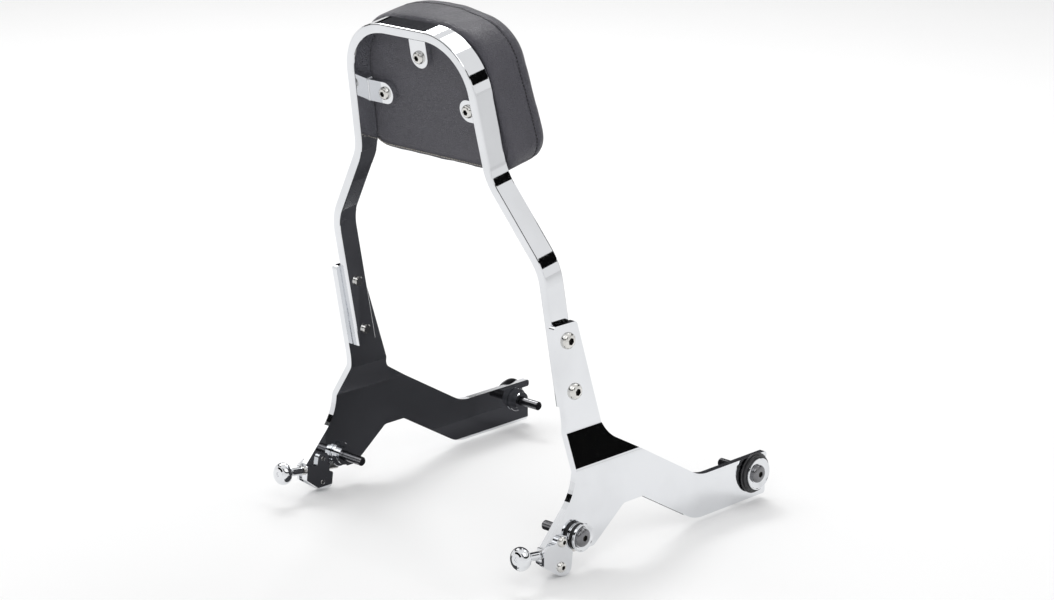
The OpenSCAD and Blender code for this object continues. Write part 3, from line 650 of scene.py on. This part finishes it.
def tailor(piece):
    """Draws the seams in, keeps the back flat, and adds the small puckers that stitching leaves"""
    s = sizes()
    seam_draw, seam_width, seam_reach = 0.9, 1.1, 9.0
    gutter_depth, gutter_inset, gutter_width = 0.9, 7.0, 1.8
    flat_zone, back_zone, least_depth = 2.0, 5.0, 0.15
    pucker_height, pucker_width, back_pucker, back_width = 0.4, 9.0, 0.6, 8.0
    ripple_height, middle = 0.7, Vector((0.0, 0.0, 142.0))
    ring = pad_outline(0.0, 720)
    rim = KDTree(len(ring))
    for index, (x, y) in enumerate(ring):
        rim.insert((x, 0.0, y), index)
    rim.balance()
    for vertex in piece.data.vertices:
        p = vertex.co / MM
        depth = p.y - s.pad_back
        edge = rim.find((p.x, 0.0, p.z))[2]
        inward = (middle - Vector((p.x, 0.0, p.z))).normalized()
        pull = seam_draw * bell(depth - s.pad_seam, seam_width) if edge < seam_reach else 0.0
        if depth < back_zone:
            depth = max(depth, least_depth)
            gutter = gutter_depth * bell(edge - gutter_inset, gutter_width)
            p.y = s.pad_back + depth + (gutter if depth < flat_zone else 0.0)
        pucker = crumple(p, 0.22, 0.10) * pucker_height
        near_seam = bell(depth - s.pad_seam, pucker_width) + bell(depth, back_width) * back_pucker
        ripple = crumple(p, 0.06, 0.03, start=9.0) * ripple_height
        loose = 0.0 if depth < flat_zone else 1.0
        p += inward * (pull + (pucker * near_seam + ripple) * loose)
        vertex.co = p * MM


def pad_tree():
    """The finished cover as something that points can be dropped onto, in the hoop's own metres"""
    piece = bpy.data.objects["pad_upholstery"]
    back = hoop_matrix().inverted()
    points = [(back @ v.co) * MM for v in piece.data.vertices]
    return BVHTree.FromPolygons(points, [tuple(p.vertices) for p in piece.data.polygons])


class BackrestUpholstery(bpy.types.Operator):
    """Makes the pad's cover by inflating a form of it, then sewing it in at its seams"""

    bl_idname = "backrest.upholstery"
    bl_label = "Pad upholstery"

    def execute(self, context):
        piece = pad_form("pad_upholstery")
        pick(piece)
        piece.data.remesh_voxel_size = FORM_SPACING * MM
        bpy.ops.object.voxel_remesh()
        swell(piece)
        smooth = piece.modifiers.new("Ease", "SMOOTH")
        smooth.factor, smooth.iterations = 0.5, 3
        fine = piece.modifiers.new("Fine", "SUBSURF")
        fine.levels = fine.render_levels = 2
        apply_all(piece)
        tailor(piece)
        piece.data.transform(hoop_matrix() @ Matrix.Scale(1.0 / MM, 4))
        piece.data.update()
        bpy.ops.object.shade_smooth()
        finish_piece(piece, finish_named("charcoal_vinyl", vinyl, colours().vinyl), "vinyl",
                     "pad_cover", "pad_back_panel")
        return {"FINISHED"}


def along_ring(ring, pitch):
    """Points at an even pitch along a closed ring, each with its direction"""
    closed = ring + [ring[0]]
    found, walked, target = [], 0.0, 0.0
    for a, b in zip(closed, closed[1:]):
        length = math.dist(a, b)
        while target <= walked + length:
            t = (target - walked) / length
            found.append(((a[0] + (b[0] - a[0]) * t, a[1] + (b[1] - a[1]) * t),
                          ((b[0] - a[0]) / length, (b[1] - a[1]) / length)))
            target += pitch
        walked += length
    return found[:-1]


def sewn_row(name, spots, tree, length, material):
    """Stitches laid on the cover at the spots (place, direction), in the hoop's own millimetres"""
    radius = sizes().stitch_radius
    rounding, stand = radius * 0.7, radius * 0.75
    clear_selection()
    bpy.ops.mesh.primitive_cylinder_add(vertices=8, radius=radius, depth=length)
    base = bpy.context.object
    bpy.ops.object.mode_set(mode="EDIT")
    bpy.ops.mesh.select_all(action="SELECT")
    bpy.ops.mesh.bevel(offset=rounding, segments=2, affect="EDGES")
    bpy.ops.object.mode_set(mode="OBJECT")
    places = []
    for place, direction in spots:
        hit, normal, _, _ = tree.find_nearest(Vector(place) * MM)
        z_axis = Vector(direction).normalized()
        z_axis = (z_axis - normal * z_axis.dot(normal)).normalized()
        x_axis = normal.cross(z_axis).normalized()
        turn = Matrix((x_axis, normal.copy(), z_axis)).transposed().to_4x4()
        places.append(hoop_matrix() @ Matrix.Translation(hit / MM + normal * stand) @ turn)
    finish_piece(copies(name, base, places), material, "vinyl")


class BackrestStitching(bpy.types.Operator):
    """Sews the row along the front seam and the light closing row at the bottom of the back panel"""

    bl_idname = "backrest.stitching"
    bl_label = "Pad stitching"

    def execute(self, context):
        s = sizes()
        tree = pad_tree()
        dark = finish_named("dark_thread", thread, colours().dark_thread)
        light = finish_named("light_thread", thread, colours().light_thread)
        seam_inset, seam_depth, seam_stitch = 0.5, s.pad_back + s.pad_seam - 0.2, s.stitch_pitch * 0.58
        closing_inset, closing_top, closing_stitch = 4.4, s.pad_low + 9.0, s.stitch_pitch * 0.72
        front = [
            ((x, seam_depth, y), (dx, 0.0, dy))
            for (x, y), (dx, dy) in along_ring(pad_outline(seam_inset), s.stitch_pitch)
        ]
        closing = [
            ((x, s.pad_back, y), (dx, 0.0, dy))
            for (x, y), (dx, dy) in along_ring(pad_outline(closing_inset), s.stitch_pitch)
            if y < closing_top
        ]
        sewn_row("pad_front_stitches", front, tree, seam_stitch, dark)
        sewn_row("pad_back_stitches", closing, tree, closing_stitch, light)
        return {"FINISHED"}


# Details of the metal parts

def leg_edge(level):
    """Half distance between the bar's inner faces at a level"""
    share = (TOP_BAR_LEVEL - level) / (TOP_BAR_LEVEL - UPPER_BEND_LEVEL)
    return TOP_HALF_WIDTH + (UPPER_BEND_HALF_WIDTH - TOP_HALF_WIDTH) * share - BAR_THICK / 2


def bead_line(start, end, pitch=1.1):
    start, end = Vector(start), Vector(end)
    count = max(1, round((end - start).length / pitch))
    return [start.lerp(end, k / count) for k in range(count + 1)]


class BackrestWelds(bpy.types.Operator):
    """Lays plated weld beads where the three tabs meet the hoop"""

    bl_idname = "backrest.welds"
    bl_label = "Tab welds"

    def execute(self, context):
        s = sizes()
        clear_of_pad, flattening = 0.8, 0.8
        back, front = s.pad_back - TAB_THICK, s.pad_back - clear_of_pad
        under_bar = TOP_BAR_LEVEL - BAR_THICK / 2
        spots = bead_line((-TAB_HALF_WIDTH, back, under_bar), (TAB_HALF_WIDTH, back, under_bar))
        low, high = SIDE_TAB_LEVEL - TAB_HALF_WIDTH, SIDE_TAB_LEVEL + TAB_HALF_WIDTH
        for side in (-1, 1):
            across = side * TAB_HALF_WIDTH
            spots += bead_line((across, back, under_bar), (across, front, under_bar))
            for level in (low, high):
                across = side * leg_edge(level)
                spots += bead_line((across, back, level), (across, front, level))
            spots += bead_line((side * leg_edge(low), back, low), (side * leg_edge(high), back, high))
        clear_selection()
        bpy.ops.mesh.primitive_uv_sphere_add(segments=12, ring_count=8, radius=s.weld_radius)
        base = bpy.context.object
        base.scale = (1.0, flattening, 1.0)
        settle(base)
        piece = copies("tab_weld_beads", base, [hoop_matrix() @ Matrix.Translation(p) for p in spots])
        finish_piece(piece, chrome_plate(), "chrome")
        return {"FINISHED"}


def thread_sleeve(name, spec, pitch, place):
    """A helical thread ridge along +X, made from one ridge section with a screw modifier"""
    start, radius, length = spec
    half, sunk, crest = pitch * 0.42, 0.12, pitch * 0.45
    clear_selection()
    bpy.ops.mesh.primitive_circle_add(vertices=3, radius=half, fill_type="NOTHING", location=(0, 0, 0))
    base = bpy.context.object
    base.name = name
    for vertex, (x, r) in zip(base.data.vertices, ((-half, -sunk), (0.0, crest), (half, -sunk))):
        vertex.co = Vector((x, 0.0, radius - half + r))
    screw = base.modifiers.new("Helix", "SCREW")
    screw.axis, screw.angle, screw.screw_offset = "X", math.tau, pitch
    screw.iterations = int(length / pitch)
    screw.steps = screw.render_steps = 28
    apply_all(base)
    bpy.ops.object.mode_set(mode="EDIT")
    bpy.ops.mesh.select_all(action="DESELECT")
    bpy.ops.mesh.select_mode(type="EDGE")
    bpy.ops.mesh.select_non_manifold()
    bpy.ops.mesh.edge_face_add()
    bpy.ops.object.mode_set(mode="OBJECT")
    base.data.transform(place @ Matrix.Translation((start, 0.0, 0.0)))
    mend_normals(base)
    return base


class BackrestThreads(bpy.types.Operator):
    """Cuts threads onto the bolt ends that stand out of the spools and of the hoop's legs"""

    bl_idname = "backrest.threads"
    bl_label = "Bolt threads"

    def execute(self, context):
        dark = finish_named("dark_plated_steel", plated_fastener, colours().dark_steel)
        bright = finish_named("bright_plated_steel", plated_fastener, colours().bright)
        dock_pitch = sizes().thread_pitch
        sides = (("right", Matrix()), ("left", MIRROR))
        for row, (y, z) in DOCKS.items():
            for side, turn in sides:
                place = turn @ ROW @ Matrix.Translation((0.0, y, z))
                piece = thread_sleeve(f"{row}_dock_bolt_thread_{side}", DOCK_THREAD, dock_pitch, place)
                finish_piece(piece, dark, "dark_bolts")
        for side, turn in sides:
            for number, level in enumerate(TONGUE_BOLT_LEVELS, 1):
                name = f"tongue_bolt_thread_{side}_{number}"
                place = turn @ hoop_matrix() @ Matrix.Translation((0.0, 0.0, level))
                piece = thread_sleeve(name, TONGUE_THREAD, TONGUE_THREAD_PITCH, place)
                finish_piece(piece, bright, "bright_fasteners")
        return {"FINISHED"}


def select_faces(piece, wanted):
    """Leaves the piece in edit mode with only the wanted faces selected"""
    pick(piece)
    bpy.ops.object.mode_set(mode="EDIT")
    bpy.ops.mesh.select_mode(type="FACE")
    bpy.ops.mesh.select_all(action="DESELECT")
    bpy.ops.object.mode_set(mode="OBJECT")
    for face in piece.data.polygons:
        face.select = wanted(face)
    bpy.ops.object.mode_set(mode="EDIT")


def socket_shade_cup(across, depth):
    """A closed hexagonal lining for a socket, which carries the painted shade inside it: rim just under
    height 0, opening up, corners on +X
    """
    half_corner = math.radians(30.0)
    clearance, wall, low, rim, floor = 0.03, 0.25, 0.02 - depth, -0.15, 0.3 - depth
    corner = across / 2 / math.cos(half_corner)
    clear_selection()
    bpy.ops.mesh.primitive_cylinder_add(
        vertices=6, radius=corner - clearance, depth=rim - low,
        location=(0.0, 0.0, (rim + low) / 2), rotation=(0.0, 0.0, half_corner))
    cup = bpy.context.object
    settle(cup)
    select_faces(cup, lambda face: face.normal.z > 0.9)
    bpy.ops.mesh.inset(thickness=(wall - clearance) * math.cos(half_corner))
    bpy.ops.mesh.extrude_region_move(TRANSFORM_OT_translate={"value": (0.0, 0.0, floor - rim)})
    bpy.ops.object.mode_set(mode="OBJECT")
    return cup


class BackrestSockets(bpy.types.Operator):
    """Lines the sockets of the button heads with dark steel, as painted shade inside them"""

    bl_idname = "backrest.sockets"
    bl_label = "Sockets"

    def execute(self, context):
        hoop, out = hoop_matrix(), Matrix.Rotation(math.pi / 2, 4, "Y")
        latch = ROW @ Matrix.Rotation(LATCH_TILT, 4, "X")
        tab_back, to_rear = sizes().pad_back - TAB_THICK, Matrix.Rotation(math.pi / 2, 4, "X")
        sockets = {
            "pad_screw_socket_shades": (PAD_HEAD, [
                hoop @ Matrix.Translation((x, tab_back, z)) @ to_rear for x, z in PAD_SCREWS]),
            "tongue_bolt_socket_shades": (TONGUE_HEAD, both_sides([
                hoop @ Matrix.Translation((TONGUE_OUT, 0.0, z)) @ out for z in TONGUE_BOLT_LEVELS])),
            "latch_screw_socket_shades": (LATCH_HEAD, both_sides([
                latch @ Matrix.Translation((COVER_OUT, y, z)) @ out for y, z in LATCH_SCREWS])),
            "dock_bolt_socket_shades": (DOCK_HEAD, both_sides([
                ROW @ Matrix.Translation((DISH_OUT, y, z)) @ out for y, z in DOCKS.values()])),
        }
        # Each lining is a dark cup of painted shade set into a socket
        for name, ((diameter, across, depth, height), places) in sockets.items():
            cup = socket_shade_cup(diameter * across, diameter * depth)
            top = Matrix.Translation((0.0, 0.0, diameter * height))
            piece = copies(name, cup, [place @ top for place in places])
            mend_normals(piece)
            bpy.ops.object.shade_flat()
            finish_piece(piece, finish_named("socket_steel", socket_steel), "steel")
        return {"FINISHED"}


class BackrestFinishes(bpy.types.Operator):
    """Gives every carried-over solid its finish"""

    bl_idname = "backrest.finishes"
    bl_label = "Finishes"

    def execute(self, context):
        c = colours()
        by_slot = {
            "chrome": chrome_plate(),
            "bright_fasteners": finish_named("bright_plated_steel", plated_fastener, c.bright),
            "dark_bolts": finish_named("dark_plated_steel", plated_fastener, c.dark_steel),
            "black_collars": finish_named("satin_black", satin_black, c.black),
            "steel": finish_named("machined_steel", plain_steel),
            "vinyl": finish_named("charcoal_vinyl", vinyl, c.vinyl),
            "foam": finish_named("pad_foam", foam),
            "board": finish_named("pad_plywood", plywood),
        }
        slots = {part["node"]: part["material_slot"] for part in FRAME["record"]["subparts"]}
        for name, solid in FRAME["nodes"].items():
            solid.data.materials.clear()
            solid.data.materials.append(by_slot[slots[name]])
        return {"FINISHED"}


# Stage

# Strength of the white surroundings where they light, and where they are seen or mirrored
WHITE = (1.0, 1.0, 1.0, 1.0)
WORLD_LIT, WORLD_SEEN = 0.78, 0.90

# The floor lies half a millimetre under the part, in metres as all of the stage
FLOOR_LEVEL = CAD_BOX[0].z - 0.5 * MM

# Soft lights: place, target, width, height, watts
SOFTBOXES = {
    "key_softbox": ((1.6, -1.3, 2.4), (0.0, 0.06, 0.25), 1.6, 1.6, 9.0),
    "fill_softbox": ((-2.2, -0.6, 1.9), (0.0, 0.06, 0.25), 1.4, 1.4, 4.0),
    "top_softbox": ((0.0, 1.3, 2.1), (0.0, 0.0, 0.4), 1.3, 0.9, 6.0),
    "back_softbox": ((-1.7, 1.3, 2.15), (0.0, 0.0, 0.45), 1.4, 0.7, 25.0),
}

# Dark cards that only the plating mirrors: place, point faced, width, height
CARDS = {
    "upper_card": ((-2.05, 1.55, 1.66), (0.0, 0.0, 0.45), 0.9, 0.8),
    "left_card": ((-0.105, 0.20, 0.14), (1.0, 0.20, 0.14), 0.34, 0.70),
    "right_card": ((0.105, 0.20, 0.14), (-1.0, 0.20, 0.14), 0.34, 0.70),
    "ground_card": ((0.0, 0.20, FLOOR_LEVEL + MM), (0.0, 0.20, 1.0), 0.29, 0.64),
}

CAMERA_PLACE = (1.8680, -1.8196, 0.9610)
CAMERA_TURN = (math.radians(90.0 - 16.49), 0.0, math.radians(44.17))
CAMERA_LENS, CAMERA_SENSOR = 100.2, 36.0


def softbox(name, place, target, width, height, watts):
    clear_selection()
    bpy.ops.object.light_add(type="AREA", location=place)
    lamp = bpy.context.object
    lamp.name = name
    lamp.data.shape, lamp.data.size, lamp.data.size_y = "RECTANGLE", width, height
    lamp.data.energy = watts
    lamp.rotation_mode = "QUATERNION"
    lamp.rotation_quaternion = (Vector(target) - Vector(place)).to_track_quat("-Z", "Y")


def dull_cloth(name, colour):
    cloth = Finish(name)
    return cloth.feed(Base_Color=colour, Roughness=1.0, Specular_IOR_Level=0.0)


def lay_floor():
    clear_selection()
    bpy.ops.mesh.primitive_plane_add(size=60.0, location=(0.0, 0.0, FLOOR_LEVEL))
    floor = bpy.context.object
    floor.name = "floor"
    paint = Finish("floor_paint")
    floor.data.materials.append(paint.feed(
        Base_Color=paint.blend(paint.noise(3.0), (0.90, 0.90, 0.90, 1), (0.92, 0.92, 0.92, 1)),
        Roughness=0.9))
    return floor


def hang_band():
    """A dark ring round the studio, which draws the dark bands on the plating's bends"""
    clear_selection()
    bpy.ops.mesh.primitive_cylinder_add(
        vertices=128, radius=3.0, depth=0.85, end_fill_type="NOTHING", location=(0.0, 0.0, 1.35))
    band = bpy.context.object
    band.name = "dark_band"
    band.data.materials.append(dull_cloth("band_cloth", (0.004, 0.004, 0.004, 1)))
    return band


def stand_card(name, place, faced, width, height, material):
    clear_selection()
    bpy.ops.mesh.primitive_plane_add(size=1.0, location=place)
    card = bpy.context.object
    card.name = name
    card.scale = (width, height, 1.0)
    card.rotation_mode = "QUATERNION"
    aim = Vector(faced) - Vector(place)
    if aim.xy.length > 0.01:
        card.rotation_quaternion = aim.to_track_quat("Z", "Y")
    card.data.materials.append(material)
    return card


def studio_world():
    """White surroundings, a little brighter where they are seen or mirrored than where they light"""
    world = bpy.data.worlds.new("soft_studio")
    world.use_nodes = True
    sky = Nodes(world.node_tree)
    lit = sky.node("ShaderNodeBackground", {}, {"Color": WHITE, "Strength": WORLD_LIT})
    seen = sky.node("ShaderNodeBackground", {}, {"Color": WHITE, "Strength": WORLD_SEEN})
    camera = sky.node("ShaderNodeLightPath", {}, {}, "Is Camera Ray")
    mirrored = sky.node("ShaderNodeLightPath", {}, {}, "Is Glossy Ray")
    through = sky.node("ShaderNodeLightPath", {}, {}, "Is Transmission Ray")
    shown = sky.smaller(camera + mirrored + through, 1.0)
    mixed = sky.node("ShaderNodeMixShader", {}, {0: shown, 1: lit, 2: seen})
    sky.tree.links.new(mixed.socket, sky.tree.nodes["World Output"].inputs["Surface"])
    return world


class BackrestStage(bpy.types.Operator):
    """Sets the floor, the soft lights, the dark cards that the plating mirrors, and the camera"""

    bl_idname = "backrest.stage"
    bl_label = "Stage"

    def execute(self, context):
        floor, band = lay_floor(), hang_band()
        shade = dull_cloth("card_cloth", (0.055, 0.055, 0.060, 1))
        cards = [band] + [stand_card(name, *spec, shade) for name, spec in CARDS.items()]
        for card in cards:
            card.visible_camera = card.visible_shadow = False
            card.visible_diffuse = card.visible_transmission = False
        context.scene.world = studio_world()
        for name, spec in SOFTBOXES.items():
            softbox(name, *spec)
        clear_selection()
        bpy.ops.object.camera_add(location=CAMERA_PLACE, rotation=CAMERA_TURN)
        camera = bpy.context.object
        camera.data.lens, camera.data.sensor_width = CAMERA_LENS, CAMERA_SENSOR
        camera.data.clip_start, camera.data.clip_end = 0.05, 60.0
        context.scene.camera = camera
        context.scene.view_settings.view_transform = "Standard"
        return {"FINISHED"}


class BackrestPanel(bpy.types.Panel):
    """Lists the backrest's pieces, sizes and colours"""

    bl_idname = "VIEW3D_PT_backrest"
    bl_label = "Backrest"
    bl_space_type = "VIEW_3D"
    bl_region_type = "UI"
    bl_category = "Backrest"

    def draw(self, context):
        for maker in OPERATORS:
            self.layout.operator(maker.bl_idname)
        for group, made in ((context.scene.backrest_sizes, BackrestSizes), (colours(), BackrestColours)):
            for name in made.__annotations__:
                self.layout.prop(group, name)


OPERATORS = (
    BackrestFinishes, BackrestUpholstery, BackrestStitching, BackrestWelds, BackrestThreads,
    BackrestSockets, BackrestStage,
)
CLASSES = (BackrestSizes, BackrestColours, *OPERATORS, BackrestPanel)


def register():
    for made in CLASSES:
        bpy.utils.register_class(made)
    bpy.types.Scene.backrest_sizes = bpy.props.PointerProperty(type=BackrestSizes)
    bpy.types.Scene.backrest_colours = bpy.props.PointerProperty(type=BackrestColours)


def unregister():
    del bpy.types.Scene.backrest_sizes
    del bpy.types.Scene.backrest_colours
    for made in reversed(CLASSES):
        bpy.utils.unregister_class(made)


def main():
    register()
    for maker in OPERATORS:
        group, name = maker.bl_idname.split(".")
        getattr(getattr(bpy.ops, group), name)()


if __name__ == "__main__":
    main()
